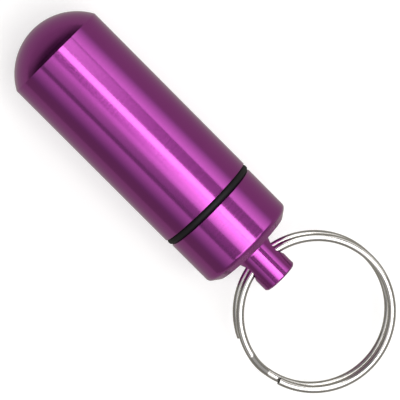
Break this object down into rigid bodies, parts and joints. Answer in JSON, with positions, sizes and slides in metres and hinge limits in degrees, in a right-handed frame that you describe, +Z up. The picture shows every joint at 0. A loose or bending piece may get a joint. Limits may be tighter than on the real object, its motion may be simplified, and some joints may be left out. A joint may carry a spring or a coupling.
{
  "type": "pill fob keychain",
  "caption": "Turned aluminium pill capsule with a domed end, a screw cap sealed by a rubber ring, and a split key ring through a cross-drilled knob.",
  "frame": {"origin": "on the surface that the fob lies on, under the middle of its overall box", "axes": "+X along the capsule from its domed end to its knob, +Z up from the surface, +Y along the knob's cross hole"},
  "size_m": [0.0752, 0.0254, 0.017],
  "materials": {
    "anodised_aluminium": "turned and anodised purple, semi-gloss",
    "seal_rubber": "smooth black rubber",
    "nickel_steel": "bright nickel-plated spring steel"
  },
  "bodies": {
    "barrel": {"barrel": "anodised_aluminium"},
    "seal_ring": {"seal_ring": "seal_rubber"},
    "cap": {"cap": "anodised_aluminium"},
    "split_ring": {"split_ring": "nickel_steel"}
  },
  "joints": [
    {"name": "seal_advance", "type": "slide", "parent": "barrel", "child": "seal_ring", "axis": [1, 0, 0], "range_m": [0, 0.0065]},
    {"name": "cap_turn", "type": "hinge", "parent": "seal_ring", "child": "cap", "pos_m": [0.00007, 0, 0.0085], "axis": [1, 0, 0], "range_deg": [0, 2340]},
    {"name": "ring_swing", "type": "hinge", "parent": "cap", "child": "split_ring", "pos_m": [0.01282, 0, 0.0085], "axis": [0, 1, 0], "range_deg": [-134, 136]}
  ],
  "couplings": [
    {"joint": "seal_advance", "follows": "cap_turn", "m_per_rad": 0.00015915}
  ]
}
